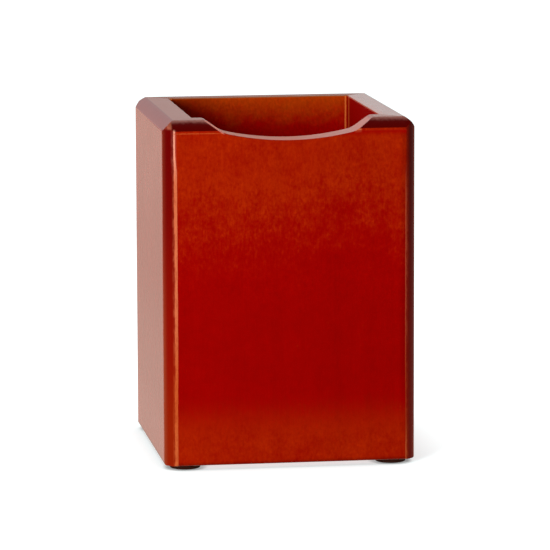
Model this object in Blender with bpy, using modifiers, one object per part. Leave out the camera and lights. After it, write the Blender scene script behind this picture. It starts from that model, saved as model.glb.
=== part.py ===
"""Square wooden pencil cup on four rubber feet.

Four boards with mitred ends stand round a base board, which is let into a rabbet
along their lower edges. A loose spline crosses each mitre. The front board has a
shallow finger scoop in its top edge. The upright edges and the outer top edges are
eased with a wide, slightly crowned chamfer. Lengths are in metres and +Z is up. The
front faces -Y, and the origin is on the table under the middle of the cup.
"""

import math

import bmesh
import bpy
from mathutils import Matrix, Vector

# Box of boards
CUP_WIDTH = 0.0826
CUP_DEPTH = 0.0826
BOARD_HEIGHT = 0.1127
BOARD_THICKNESS = 0.0108
GLUE_LINE = 0.0003

# Eased outer edges, and the small rounding of the other edges that show
EDGE_EASE = 0.0037
ARRIS_RADIUS = 0.0009
ARRIS_TURN = math.radians(31)
SOFT_EDGE_RADIUS = 0.0004

# Finger scoop in the top edge of the front board
SCOOP_SHOULDER = 0.0031
SCOOP_DEPTH = 0.0067
SCOOP_FLOOR_RISE = 0.0026
SCOOP_RAMP_ANGLE = math.radians(35)
SCOOP_FILLET_RADIUS = 0.008
SCOOP_LIP_RADIUS = 0.0025

# Base board and its rabbet
BASE_THICKNESS = 0.0064
RABBET_WIDTH = 0.0045

# Loose splines in the mitres
SPLINE_THICKNESS = 0.003
SPLINE_WIDTH = 0.0064
SPLINE_INSET = 0.0062
SPLINE_LOW_STOP = 0.014
SPLINE_TOP_STOP = 0.016

# Stick-on feet
FOOT_DIAMETER = 0.010
FOOT_HEIGHT = 0.0016
FOOT_EDGE_RADIUS = 0.0006
FOOT_INSET = 0.00725
ADHESIVE_FILM = 0.0003

# How the shapes are cut and smoothed
CUT_OVERRUN = 0.002
WELD_DISTANCE = 0.000001
SHARP_FOLD = math.radians(20)
SMOOTH_ANGLE = math.radians(30)
ARRIS_STEPS = 2
CROWN_STEPS = 4
SOFT_EDGE_STEPS = 2
FLOOR_STEPS = 10
FILLET_STEPS = 5
LIP_STEPS = 6
FOOT_SIDES = 40
FOOT_EDGE_STEPS = 4

# Finishes: linear colour, roughness, metallic
LACQUERED_FACE = ((0.330, 0.012, 0.002), 0.24, 0.0)
LACQUERED_FLOOR = ((0.200, 0.009, 0.002), 0.34, 0.0)
BARE_PLYWOOD = ((0.560, 0.360, 0.190), 0.70, 0.0)
BROWN_RUBBER = ((0.022, 0.008, 0.006), 0.60, 0.0)

# Axes of an outline's plane, by the axis along which it is thickened
OUTLINE_PLANES = {
    "X": Matrix(((0, 0, 1, 0), (1, 0, 0, 0), (0, 1, 0, 0), (0, 0, 0, 1))),
    "Y": Matrix(((1, 0, 0, 0), (0, 0, 1, 0), (0, 1, 0, 0), (0, 0, 0, 1))),
    "Z": Matrix.Identity(4),
}


def clear_scene():
    for item in list(bpy.data.objects):
        bpy.data.objects.remove(item)


def new_collection(name):
    collection = bpy.data.collections.new(name)
    bpy.context.scene.collection.children.link(collection)
    return collection


def make_material(name, finish):
    colour, roughness, metallic = finish
    material = bpy.data.materials.new(name)
    material.use_nodes = True
    material.diffuse_color = (*colour, 1)
    shader = material.node_tree.nodes["Principled BSDF"]
    shader.inputs["Base Color"].default_value = (*colour, 1)
    shader.inputs["Roughness"].default_value = roughness
    shader.inputs["Metallic"].default_value = metallic
    return material


def read_evaluated(item):
    """Return the mesh of an object as its modifiers leave it."""
    bpy.context.view_layer.update()
    depsgraph = bpy.context.evaluated_depsgraph_get()
    return bpy.data.meshes.new_from_object(item.evaluated_get(depsgraph))


def weld(mesh):
    """Join a mesh's loose caps to its sides, with the faces pointing out."""
    edit = bmesh.new()
    edit.from_mesh(mesh)
    bmesh.ops.remove_doubles(edit, verts=edit.verts, dist=WELD_DISTANCE)
    bmesh.ops.recalc_face_normals(edit, faces=edit.faces)
    edit.to_mesh(mesh)
    edit.free()


def add_prism(name, outline, length, axis, collection):
    """Thicken a closed flat outline along an axis, by half its length each way.

    The outline's two coordinates are the two other axes, in the order X, Y, Z.
    """
    curve = bpy.data.curves.new(name, "CURVE")
    curve.dimensions = "2D"
    curve.fill_mode = "BOTH"
    curve.extrude = length / 2
    spline = curve.splines.new("POLY")
    spline.points.add(len(outline) - 1)
    for point, (across, along) in zip(spline.points, outline):
        point.co = (across, along, 0, 1)
    spline.use_cyclic_u = True
    flat = bpy.data.objects.new(name, curve)
    collection.objects.link(flat)
    mesh = read_evaluated(flat)
    mesh.transform(OUTLINE_PLANES[axis])
    bpy.data.objects.remove(flat)
    weld(mesh)
    prism = bpy.data.objects.new(name, mesh)
    collection.objects.link(prism)
    return prism


def add_box(name, size, location, collection, turn=0):
    """Add a box by its sizes and the middle of its lower face, turned about Z."""
    mesh = bpy.data.meshes.new(name)
    edit = bmesh.new()
    bmesh.ops.create_cube(edit, size=1)
    bmesh.ops.scale(edit, vec=size, verts=edit.verts)
    edit.to_mesh(mesh)
    edit.free()
    box = bpy.data.objects.new(name, mesh)
    box.location = Vector(location) + Vector((0, 0, size[2] / 2))
    box.rotation_euler[2] = turn
    collection.objects.link(box)
    return box


def cut(piece, tool):
    boolean = piece.modifiers.new(tool.name, "BOOLEAN")
    boolean.operation = "DIFFERENCE"
    boolean.solver = "EXACT"
    boolean.object = tool


def mark_as_cutter(tool):
    tool.display_type = "WIRE"
    tool.hide_render = True


def arc(centre, radius, start, end, steps):
    """Points of an arc, each at the place where its tangent has the next slope.

    A positive radius has its centre above the curve, and a negative one below it.
    """
    points = []
    for step in range(steps + 1):
        slope = start + (end - start) * step / steps
        across = centre[0] + radius * math.sin(slope)
        up = centre[1] - radius * math.cos(slope)
        points.append((across, up))
    return points


def scoop_half_outline():
    """Right half of the scoop, from the middle of its floor to the rim.

    The floor is a wide arc that rises a little to the foot of a straight ramp, which
    would meet the rim one shoulder short of the cup's inner corner. A fillet joins the
    floor to the ramp, and a small lip rounds the ramp over into the rim. Heights are
    measured from the rim.
    """
    half_width = CUP_WIDTH / 2 - BOARD_THICKNESS - SCOOP_SHOULDER
    ramp = Vector((math.cos(SCOOP_RAMP_ANGLE), math.sin(SCOOP_RAMP_ANGLE)))
    over_ramp = Vector((-ramp.y, ramp.x))
    ramp_foot = half_width - (SCOOP_DEPTH - SCOOP_FLOOR_RISE) / math.tan(SCOOP_RAMP_ANGLE)
    floor_radius = (ramp_foot ** 2 + SCOOP_FLOOR_RISE ** 2) / (2 * SCOOP_FLOOR_RISE)
    floor_centre = Vector((0, floor_radius - SCOOP_DEPTH))
    # The fillet's centre lies on a line beside the ramp, at this reach from the floor's centre.
    reach = floor_radius - SCOOP_FILLET_RADIUS
    beside = Vector((half_width, 0)) + SCOOP_FILLET_RADIUS * over_ramp
    offset = beside - floor_centre
    along = offset.dot(ramp)
    down_ramp = along + math.sqrt(along ** 2 - offset.length_squared + reach ** 2)
    fillet_centre = beside - down_ramp * ramp
    floor_slope = math.asin(fillet_centre.x / reach)
    lip_end = half_width + SCOOP_LIP_RADIUS * math.tan(SCOOP_RAMP_ANGLE / 2)
    lip_centre = Vector((lip_end, -SCOOP_LIP_RADIUS))
    floor = arc(floor_centre, floor_radius, 0, floor_slope, FLOOR_STEPS)
    fillet = arc(fillet_centre, SCOOP_FILLET_RADIUS, floor_slope, SCOOP_RAMP_ANGLE, FILLET_STEPS)
    lip = arc(lip_centre, -SCOOP_LIP_RADIUS, SCOOP_RAMP_ANGLE, 0, LIP_STEPS)
    return floor + fillet[1:] + lip


def board_face(board_length, scooped):
    """Outline of a board seen from the front, square at its ends and scooped if asked."""
    half = board_length / 2
    outline = [(-half, 0), (half, 0), (half, BOARD_HEIGHT)]
    if scooped:
        right = scoop_half_outline()
        left = [(-across, up) for across, up in right[:0:-1]]
        outline += [(across, BOARD_HEIGHT + up) for across, up in reversed(left + right)]
    outline.append((-half, BOARD_HEIGHT))
    return outline


def eased_edge():
    """Section of an eased edge, as insets from the two faces that it joins.

    A small arris turns away from each face, and a shallow arc crowns the chamfer
    between them. The slope runs from the first face's to the second's.
    """
    last_turn = math.pi / 2 - ARRIS_TURN
    arris_reach = ARRIS_RADIUS * (math.sin(ARRIS_TURN) + 1 - math.cos(ARRIS_TURN))
    crown_radius = (EDGE_EASE - arris_reach) / (math.cos(ARRIS_TURN) - math.sin(ARRIS_TURN))
    arcs = (
        (ARRIS_RADIUS, 0, ARRIS_TURN, ARRIS_STEPS),
        (crown_radius, ARRIS_TURN, last_turn, CROWN_STEPS),
        (ARRIS_RADIUS, last_turn, math.pi / 2, ARRIS_STEPS),
    )
    line = [(0, 0)]
    for radius, start, end, steps in arcs:
        along, up = line[-1]
        centre = (along - radius * math.sin(start), up + radius * math.cos(start))
        line += arc(centre, radius, start, end, steps)[1:]
    return [(up, EDGE_EASE - along) for along, up in line]


def run_past(end, before):
    """The point one overrun past the end of a line that comes from the point before."""
    end = Vector(end)
    return end + CUT_OVERRUN * (end - Vector(before)).normalized()


def eased_off():
    """Outline of what easing takes off a square edge, as insets from its two faces."""
    section = eased_edge()
    first_end = run_past(section[0], section[1])
    last_end = run_past(section[-1], section[-2])
    return [first_end, *section[1:-1], last_end, (-CUT_OVERRUN, -CUT_OVERRUN)]


def add_upright_tool(name, outline, side, collection):
    """Cutter of the board's whole height, at one of its two ends."""
    placed = [(side * across, inward) for across, inward in outline]
    length = BOARD_HEIGHT + 2 * CUT_OVERRUN
    tool = add_prism(name, placed, length, "Z", collection)
    tool.data.transform(Matrix.Translation((0, 0, BOARD_HEIGHT / 2)))
    return tool


def add_end_tools(board_length, side, collection):
    """Cutters for one end of a board: its half of the eased corner, and its mitre.

    The mitre stands back from the corner's diagonal by half the glue line.
    """
    half = board_length / 2
    step_back = GLUE_LINE / math.sqrt(2)
    behind = BOARD_THICKNESS + CUT_OVERRUN
    corner = [(half - along, inward) for along, inward in eased_off()]
    mitre = (
        (half + CUT_OVERRUN - step_back, -CUT_OVERRUN),
        (half - behind - step_back, behind),
        (half + CUT_OVERRUN, behind),
    )
    return [
        add_upright_tool("corner_tool", corner, side, collection),
        add_upright_tool("mitre_tool", mitre, side, collection),
    ]


def add_top_edge_tool(board_length, collection):
    """Cutter for a board's outer top edge."""
    outline = [(inward, BOARD_HEIGHT - down) for inward, down in eased_off()]
    length = board_length + 2 * CUT_OVERRUN
    return add_prism("top_edge_tool", outline, length, "X", collection)


def soften_outline(piece):
    """Round the edges of a board's outer and inner face, and none through its thickness."""
    edit = bmesh.new()
    edit.from_mesh(piece.data)
    weight = edit.edges.layers.float.new("bevel_weight_edge")
    for edge in edit.edges:
        first, second = (corner.co for corner in edge.verts)
        level = abs(first.y - second.y) < WELD_DISTANCE
        edge[weight] = 1 if level and edge.calc_face_angle(0) > SHARP_FOLD else 0
    edit.to_mesh(piece.data)
    edit.free()
    bevel = piece.modifiers.new("soft_edges", "BEVEL")
    bevel.limit_method = "WEIGHT"
    bevel.width = SOFT_EDGE_RADIUS
    bevel.segments = SOFT_EDGE_STEPS


def add_board(name, board_length, reach, turn, collection, scooped=False):
    """Add a board at its reach from the cup's axis, turned about it from the front.

    In its own frame the board's outer face lies on Y = 0 and its inner face behind it.
    """
    outline = board_face(board_length, scooped)
    blank = add_prism(f"{name}_blank", outline, BOARD_THICKNESS, "Y", collection)
    blank.data.transform(Matrix.Translation((0, BOARD_THICKNESS / 2, 0)))
    soften_outline(blank)
    tools = [add_top_edge_tool(board_length, collection)]
    for side in (-1, 1):
        tools += add_end_tools(board_length, side, collection)
    for tool in tools:
        cut(blank, tool)
    board = bpy.data.objects.new(name, read_evaluated(blank))
    for used in (blank, *tools):
        bpy.data.objects.remove(used)
    board.rotation_euler[2] = turn
    board.location = Matrix.Rotation(turn, 3, "Z") @ Vector((0, -reach, FOOT_HEIGHT))
    collection.objects.link(board)
    return board


def add_boards(collection):
    """The four boards, each turned to its side of the cup."""
    front_reach = CUP_DEPTH / 2
    side_reach = CUP_WIDTH / 2
    quarter = math.pi / 2
    return [
        add_board("front_panel", CUP_WIDTH, front_reach, 0, collection, scooped=True),
        add_board("right_side_panel", CUP_DEPTH, side_reach, quarter, collection),
        add_board("back_panel", CUP_WIDTH, front_reach, 2 * quarter, collection),
        add_board("left_side_panel", CUP_DEPTH, side_reach, 3 * quarter, collection),
    ]


def add_base(collection, cutters):
    """The base board, flush with the boards' lower edges, and the rabbet that takes it."""
    inside = Vector((CUP_WIDTH, CUP_DEPTH, 0)) - 2 * BOARD_THICKNESS * Vector((1, 1, 0))
    rabbet = inside + 2 * RABBET_WIDTH * Vector((1, 1, 0))
    board = rabbet - 2 * GLUE_LINE * Vector((1, 1, 0))
    board.z = BASE_THICKNESS
    rabbet.z = CUT_OVERRUN + BASE_THICKNESS + GLUE_LINE
    base = add_box("base_panel", board, (0, 0, FOOT_HEIGHT), collection)
    tool = add_box("rabbet_tool", rabbet, (0, 0, FOOT_HEIGHT - CUT_OVERRUN), cutters)
    mark_as_cutter(tool)
    return base, tool


def corners():
    """Name, side signs and outward turn of each corner of the cup."""
    for row, ahead in (("front", -1), ("rear", 1)):
        for side, across in (("left", -1), ("right", 1)):
            yield f"{row}_{side}", across, ahead


def add_splines(collection, cutters):
    """A stopped spline across each mitre, and the slot that the two boards share."""
    height = BOARD_HEIGHT - SPLINE_LOW_STOP - SPLINE_TOP_STOP
    inset = SPLINE_INSET / math.sqrt(2)
    spline_size = Vector((SPLINE_THICKNESS, SPLINE_WIDTH, height))
    slot_size = spline_size + 2 * GLUE_LINE * Vector((1, 1, 1))
    splines = []
    slots = []
    for corner, across, ahead in corners():
        x = across * (CUP_WIDTH / 2 - BOARD_THICKNESS + inset)
        y = ahead * (CUP_DEPTH / 2 - BOARD_THICKNESS + inset)
        z = FOOT_HEIGHT + SPLINE_LOW_STOP
        turn = math.atan2(ahead, across)
        spline = add_box(f"mitre_spline_{corner}", spline_size, (x, y, z), collection, turn)
        slot = add_box(f"spline_slot_{corner}", slot_size, (x, y, z - GLUE_LINE), cutters, turn)
        mark_as_cutter(slot)
        splines.append(spline)
        slots.append(slot)
    return splines, slots


def foot_profile():
    """Outer side of a foot from its stuck face down to the table, rounded below."""
    radius = FOOT_DIAMETER / 2
    top = FOOT_HEIGHT - ADHESIVE_FILM
    points = [(0, top), (radius, top)]
    for step in range(FOOT_EDGE_STEPS + 1):
        angle = math.pi / 2 * step / FOOT_EDGE_STEPS
        across = radius - FOOT_EDGE_RADIUS * (1 - math.cos(angle))
        up = FOOT_EDGE_RADIUS * (1 - math.sin(angle))
        points.append((across, up))
    points.append((0, 0))
    return points


def turned_foot(collection):
    """Mesh of one foot, turned about Z from its profile."""
    profile = bpy.data.meshes.new("foot_profile")
    points = [(across, 0, up) for across, up in foot_profile()]
    edges = [(start, start + 1) for start in range(len(points) - 1)]
    profile.from_pydata(points, edges, [])
    blank = bpy.data.objects.new("foot_blank", profile)
    collection.objects.link(blank)
    screw = blank.modifiers.new("turned", "SCREW")
    screw.steps = FOOT_SIDES
    screw.render_steps = FOOT_SIDES
    screw.use_merge_vertices = True
    screw.merge_threshold = WELD_DISTANCE
    mesh = read_evaluated(blank)
    bpy.data.objects.remove(blank)
    mesh.shade_smooth()
    mesh.set_sharp_from_angle(angle=SMOOTH_ANGLE)
    return mesh


def add_feet(collection):
    """Four equal feet, stuck under the corners."""
    mesh = turned_foot(collection)
    feet = []
    for corner, across, ahead in corners():
        foot = bpy.data.objects.new(f"foot_{corner}", mesh.copy())
        x = across * (CUP_WIDTH / 2 - FOOT_INSET)
        y = ahead * (CUP_DEPTH / 2 - FOOT_INSET)
        foot.location = (x, y, 0)
        collection.objects.link(foot)
        feet.append(foot)
    return feet


def finish_piece(piece, finish):
    piece.data.materials.append(make_material(f"{piece.name}_finish", finish))


def build_cup():
    clear_scene()
    parts = new_collection("pencil_cup")
    cutters = new_collection("cutters")
    boards = add_boards(parts)
    base, rabbet = add_base(parts, cutters)
    splines, slots = add_splines(parts, cutters)
    feet = add_feet(parts)
    for board in boards:
        for tool in (rabbet, *slots):
            cut(board, tool)
        finish_piece(board, LACQUERED_FACE)
    finish_piece(base, LACQUERED_FLOOR)
    for spline in splines:
        finish_piece(spline, BARE_PLYWOOD)
    for foot in feet:
        finish_piece(foot, BROWN_RUBBER)


build_cup()
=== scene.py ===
"""Looks of the square wooden pencil cup: finer boards and feet, lacquer, floor and light.

Lengths are in metres, and the shaders measure in millimetres. Each board is modelled
again with rounder edges and closed mitres, in the frame's sizes and in its place.
"""

import math

import bmesh
import bpy
from mathutils import Matrix, Vector


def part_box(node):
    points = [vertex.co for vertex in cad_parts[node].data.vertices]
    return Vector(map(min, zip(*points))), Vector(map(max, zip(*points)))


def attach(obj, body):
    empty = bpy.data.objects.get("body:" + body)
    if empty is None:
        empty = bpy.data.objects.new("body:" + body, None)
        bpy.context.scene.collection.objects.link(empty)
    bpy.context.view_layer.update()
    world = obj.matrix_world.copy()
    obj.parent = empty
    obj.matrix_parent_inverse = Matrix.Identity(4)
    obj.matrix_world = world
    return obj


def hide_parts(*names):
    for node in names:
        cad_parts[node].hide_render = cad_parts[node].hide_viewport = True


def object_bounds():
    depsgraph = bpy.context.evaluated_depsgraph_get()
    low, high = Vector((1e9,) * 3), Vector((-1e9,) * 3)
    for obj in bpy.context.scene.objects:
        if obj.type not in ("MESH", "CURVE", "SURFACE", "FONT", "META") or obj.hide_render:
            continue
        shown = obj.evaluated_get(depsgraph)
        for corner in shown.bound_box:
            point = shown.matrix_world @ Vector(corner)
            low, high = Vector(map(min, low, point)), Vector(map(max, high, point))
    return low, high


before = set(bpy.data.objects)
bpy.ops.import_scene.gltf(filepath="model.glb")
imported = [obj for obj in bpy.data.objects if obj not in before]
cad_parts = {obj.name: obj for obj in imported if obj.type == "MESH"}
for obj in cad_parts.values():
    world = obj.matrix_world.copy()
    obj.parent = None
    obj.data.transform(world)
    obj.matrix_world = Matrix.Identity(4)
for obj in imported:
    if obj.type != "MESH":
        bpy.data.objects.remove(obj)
CAD_BOX = [list(corner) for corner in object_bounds()]

# Sizes read from the frame
FRONT_LOW, FRONT_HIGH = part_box("front_panel")
BASE_LOW, BASE_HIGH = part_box("base_panel")
FOOT_LOW, FOOT_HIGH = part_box("foot_front_left")
CUP_WIDTH = CAD_BOX[1][0] - CAD_BOX[0][0]
CUP_DEPTH = CAD_BOX[1][1] - CAD_BOX[0][1]
BOARD_FOOT = FRONT_LOW.z
BOARD_HEIGHT = FRONT_HIGH.z - FRONT_LOW.z
BOARD_THICKNESS = FRONT_HIGH.y - FRONT_LOW.y
FOOT_RADIUS = (FOOT_HIGH.x - FOOT_LOW.x) / 2
FOOT_TOP = FOOT_HIGH.z
CUP_MIDDLE = Vector((0, 0, BOARD_FOOT + BOARD_HEIGHT / 2))

# Side signs of each corner, across and ahead
CORNER_SIGNS = {
    "front_left": (-1, -1), "front_right": (1, -1), "rear_left": (-1, 1), "rear_right": (1, 1),
}

# Eased edges of the boards
EDGE_EASE = 0.0037
ARRIS_RADIUS = 0.0009
ARRIS_TURN = math.radians(31)
SOFT_EDGE_RADIUS = 0.0005
MITRE_GAP = 0.000001

# Finger scoop in the front board
SCOOP_SHOULDER = 0.0031
SCOOP_DEPTH = 0.0067
SCOOP_FLOOR_RISE = 0.0026
SCOOP_RAMP_ANGLE = math.radians(35)
SCOOP_FILLET_RADIUS = 0.008
SCOOP_LIP_RADIUS = 0.0025

# Slots round the frame's splines, and the rabbet round the base board
SPLINE_THICKNESS = 0.003
SPLINE_WIDTH = 0.0064
SPLINE_INSET = 0.0062
SLOT_CLEARANCE = 0.0003
RABBET_CLEARANCE = 0.0001
BASE_EDGE_RADIUS = 0.0003

# Feet
FOOT_EDGE_RADIUS = 0.00035
FOOT_RIM_RADIUS = 0.0001
ADHESIVE_INSET = 0.0002
ADHESIVE_TOP = BOARD_FOOT - 0.00002

# Steps of the curves
ARRIS_STEPS = 5
CROWN_STEPS = 12
SOFT_EDGE_STEPS = 4
FLOOR_STEPS = 40
FILLET_STEPS = 16
LIP_STEPS = 16
FOOT_SIDES = 96
FOOT_EDGE_STEPS = 8
CUT_OVERRUN = 0.002
WELD_DISTANCE = 0.000001
SHARP_FOLD = math.radians(20)
NORMAL_WEIGHT = 80

# The two axes of a flat outline, and the one along which it is thickened
XY_PLANE = (0, 1, 2)
XZ_PLANE = (0, 2, 1)
YZ_PLANE = (1, 2, 0)

# Camera, found from the photograph's straight edges
CAMERA_AZIMUTH = math.radians(-8.485)
CAMERA_ELEVATION = math.radians(8.446)
CAMERA_ROLL = math.radians(-0.175)
CAMERA_DISTANCE = 1.2945
CAMERA_ASIDE = 0.000944
CAMERA_BELOW = 0.000381
CAMERA_REACH = 100
FOCAL_PIXELS = 3868.0
IMAGE_PIXELS = 550
SENSOR_MM = 36

# Light
WORLD_LEVEL = 0.36
KEY_AZIMUTH = math.radians(-38)
KEY_ELEVATION = math.radians(12)
KEY_DISTANCE = 1.4
KEY_SIZE = 0.45
KEY_WATTS = 15
FILL_AZIMUTH = math.radians(40)
FILL_ELEVATION = math.radians(20)
FILL_WATTS = 0.5
WHITE = (1, 1, 1, 1)

# Floor: its span, how far off things shade it, softly all round and closely by the feet,
# where in millimetres and how much they do, and its colour and glow as the camera sees it
# and as the cup mirrors it, with the colour of the light that it throws back
FLOOR_SPAN = 12
WIDE_REACH = 0.020
CONTACT_REACH = 0.004
BESIDE_CUP = (34, 42, 0.15, 1)
WIDE_SHADE = 0.5
BY_FOOT = (8, 5.5, 0, 0.42)
FLOOR_SEEN = (0.97, 1.2, 1.2)
FLOOR_SEEN_GLOW = (0.75, 0.75, 0.75)
FLOOR_MIRRORED = (0.42, 0.42, 0.42)
FLOOR_MIRRORED_GLOW = (0.74, 0.71, 0.570)
FLOOR_BOUNCE = (0.85, 0.84, 0.82)


def new_object(name, data):
    item = bpy.data.objects.new(name, data)
    bpy.context.scene.collection.objects.link(item)
    return item


def read_evaluated(item):
    """Return the mesh of an object as its modifiers leave it."""
    bpy.context.view_layer.update()
    depsgraph = bpy.context.evaluated_depsgraph_get()
    return bpy.data.meshes.new_from_object(item.evaluated_get(depsgraph))


def prism(name, outline, low, high, axes):
    """Add a closed flat outline in two axes, thickened from low to high along the third."""
    across, along, through = axes
    edit = bmesh.new()
    ends = []
    for depth in (low, high):
        ring = []
        for point in outline:
            spot = Vector((0, 0, 0))
            spot[across] = point[0]
            spot[along] = point[1]
            spot[through] = depth
            ring.append(edit.verts.new(spot))
        edit.faces.new(ring)
        ends.append(ring)
    near, far = ends
    for here in range(len(outline)):
        edit.faces.new((near[here - 1], near[here], far[here], far[here - 1]))
    bmesh.ops.recalc_face_normals(edit, faces=edit.faces)
    mesh = bpy.data.meshes.new(name)
    edit.to_mesh(mesh)
    edit.free()
    return new_object(name, mesh)


def box(name, size, foot, turn=0):
    """Add a box by its sizes and the middle of its lower face, turned about Z."""
    half = Vector(size) / 2
    outline = ((-half.x, -half.y), (half.x, -half.y), (half.x, half.y), (-half.x, half.y))
    item = prism(name, outline, 0, size[2], XY_PLANE)
    item.data.transform(Matrix.Translation(foot) @ Matrix.Rotation(turn, 4, "Z"))
    return item


def arc(centre, radius, start, end, steps):
    """Points of an arc by the slope of its tangent; a negative radius has its centre below."""
    points = []
    for step in range(steps + 1):
        slope = start + (end - start) * step / steps
        points.append((centre[0] + radius * math.sin(slope), centre[1] - radius * math.cos(slope)))
    return points


def scoop_half_outline():
    """Right half of the scoop from the middle of its floor to the rim, measured from the rim."""
    half_width = CUP_WIDTH / 2 - BOARD_THICKNESS - SCOOP_SHOULDER
    ramp = Vector((math.cos(SCOOP_RAMP_ANGLE), math.sin(SCOOP_RAMP_ANGLE)))
    over_ramp = Vector((-ramp.y, ramp.x))
    ramp_foot = half_width - (SCOOP_DEPTH - SCOOP_FLOOR_RISE) / math.tan(SCOOP_RAMP_ANGLE)
    floor_radius = (ramp_foot ** 2 + SCOOP_FLOOR_RISE ** 2) / (2 * SCOOP_FLOOR_RISE)
    floor_centre = Vector((0, floor_radius - SCOOP_DEPTH))
    reach = floor_radius - SCOOP_FILLET_RADIUS
    beside = Vector((half_width, 0)) + SCOOP_FILLET_RADIUS * over_ramp
    offset = beside - floor_centre
    along = offset.dot(ramp)
    down_ramp = along + math.sqrt(along ** 2 - offset.length_squared + reach ** 2)
    fillet_centre = beside - down_ramp * ramp
    floor_slope = math.asin(fillet_centre.x / reach)
    lip_end = half_width + SCOOP_LIP_RADIUS * math.tan(SCOOP_RAMP_ANGLE / 2)
    lip_centre = Vector((lip_end, -SCOOP_LIP_RADIUS))
    floor = arc(floor_centre, floor_radius, 0, floor_slope, FLOOR_STEPS)
    fillet = arc(fillet_centre, SCOOP_FILLET_RADIUS, floor_slope, SCOOP_RAMP_ANGLE, FILLET_STEPS)
    lip = arc(lip_centre, -SCOOP_LIP_RADIUS, SCOOP_RAMP_ANGLE, 0, LIP_STEPS)
    return floor + fillet[1:] + lip


def board_face(length, scooped):
    """Outline of a board seen from the front, square at its ends."""
    half = length / 2
    outline = [(-half, 0), (half, 0), (half, BOARD_HEIGHT)]
    if scooped:
        right = scoop_half_outline()
        left = [(-across, up) for across, up in right[:0:-1]]
        outline += [(across, BOARD_HEIGHT + up) for across, up in reversed(left + right)]
    outline.append((-half, BOARD_HEIGHT))
    return outline


def eased_edge():
    """Section of an eased edge, as insets from the two faces that it joins."""
    last_turn = math.pi / 2 - ARRIS_TURN
    arris_reach = ARRIS_RADIUS * (math.sin(ARRIS_TURN) + 1 - math.cos(ARRIS_TURN))
    crown_radius = (EDGE_EASE - arris_reach) / (math.cos(ARRIS_TURN) - math.sin(ARRIS_TURN))
    arcs = (
        (ARRIS_RADIUS, 0, ARRIS_TURN, ARRIS_STEPS),
        (crown_radius, ARRIS_TURN, last_turn, CROWN_STEPS),
        (ARRIS_RADIUS, last_turn, math.pi / 2, ARRIS_STEPS),
    )
    line = [(0, 0)]
    for radius, start, end, steps in arcs:
        along, up = line[-1]
        centre = (along - radius * math.sin(start), up + radius * math.cos(start))
        line += arc(centre, radius, start, end, steps)[1:]
    return [(up, EDGE_EASE - along) for along, up in line]


def run_past(end, before):
    """The point one overrun past the end of a line that comes from the point before."""
    end = Vector(end)
    return end + CUT_OVERRUN * (end - Vector(before)).normalized()


def eased_off():
    """Outline of what easing takes off a square edge, as insets from its two faces."""
    section = eased_edge()
    first_end = run_past(section[0], section[1])
    last_end = run_past(section[-1], section[-2])
    return [first_end, *section[1:-1], last_end, (-CUT_OVERRUN, -CUT_OVERRUN)]


def end_tools(length, side):
    """Cutters for one end of a board: its half of the eased corner, and its mitre."""
    half = length / 2
    step_back = MITRE_GAP / math.sqrt(2)
    behind = BOARD_THICKNESS + CUT_OVERRUN
    corner = [(half - along, inward) for along, inward in eased_off()]
    mitre = (
        (half + CUT_OVERRUN - step_back, -CUT_OVERRUN),
        (half - behind - step_back, behind),
        (half + CUT_OVERRUN, behind),
    )
    tools = []
    for name, outline in (("corner_tool", corner), ("mitre_tool", mitre)):
        placed = [(side * across, inward) for across, inward in outline]
        tools.append(prism(name, placed, -CUT_OVERRUN, BOARD_HEIGHT + CUT_OVERRUN, XY_PLANE))
    return tools


def top_edge_tool(length):
    outline = [(inward, BOARD_HEIGHT - down) for inward, down in eased_off()]
    past_end = length / 2 + CUT_OVERRUN
    return prism("top_edge_tool", outline, -past_end, past_end, YZ_PLANE)


def rabbet_tool(to_board):
    """Cutter of the rabbet round the base board, in a board's own frame."""
    size = BASE_HIGH - BASE_LOW + 2 * RABBET_CLEARANCE * Vector((1, 1, 0))
    size.z += RABBET_CLEARANCE + CUT_OVERRUN
    tool = box("rabbet_tool", size, (0, 0, BOARD_FOOT - CUT_OVERRUN))
    tool.data.transform(to_board)
    return tool


def slot_tools(to_board):
    """Cutters of the slots round the four splines, in a board's own frame."""
    tools = []
    inset = SPLINE_INSET / math.sqrt(2)
    for corner, (across, ahead) in CORNER_SIGNS.items():
        low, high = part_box(f"mitre_spline_{corner}")
        spline = Vector((SPLINE_THICKNESS, SPLINE_WIDTH, high.z - low.z))
        size = spline + 2 * SLOT_CLEARANCE * Vector((1, 1, 1))
        x = across * (CUP_WIDTH / 2 - BOARD_THICKNESS + inset)
        y = ahead * (CUP_DEPTH / 2 - BOARD_THICKNESS + inset)
        tool = box("slot_tool", size, (x, y, low.z - SLOT_CLEARANCE), math.atan2(ahead, across))
        tool.data.transform(to_board)
        tools.append(tool)
    return tools


def soften(piece, radius, segments, wanted):
    """Add a bevel on the folds that are wanted."""
    edit = bmesh.new()
    edit.from_mesh(piece.data)
    weight = edit.edges.layers.float.new("bevel_weight_edge")
    for edge in edit.edges:
        first, second = (corner.co for corner in edge.verts)
        edge[weight] = 1 if wanted(first, second) and edge.calc_face_angle(0) > SHARP_FOLD else 0
    edit.to_mesh(piece.data)
    edit.free()
    bevel = piece.modifiers.new("soft_edges", "BEVEL")
    bevel.limit_method = "WEIGHT"
    bevel.width = radius
    bevel.segments = segments


def cut(piece, tool):
    boolean = piece.modifiers.new(tool.name, "BOOLEAN")
    boolean.operation = "DIFFERENCE"
    boolean.solver = "EXACT"
    boolean.object = tool


def shade(piece):
    """Shade a piece smooth but for its folds, with each flat face's own normal kept."""
    piece.data.shade_smooth()
    piece.data.set_sharp_from_angle(angle=SHARP_FOLD)
    weighted = piece.modifiers.new("face_normals", "WEIGHTED_NORMAL")
    weighted.keep_sharp = True
    weighted.weight = NORMAL_WEIGHT


def is_level(first, second):
    return abs(first.y - second.y) < WELD_DISTANCE


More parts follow.
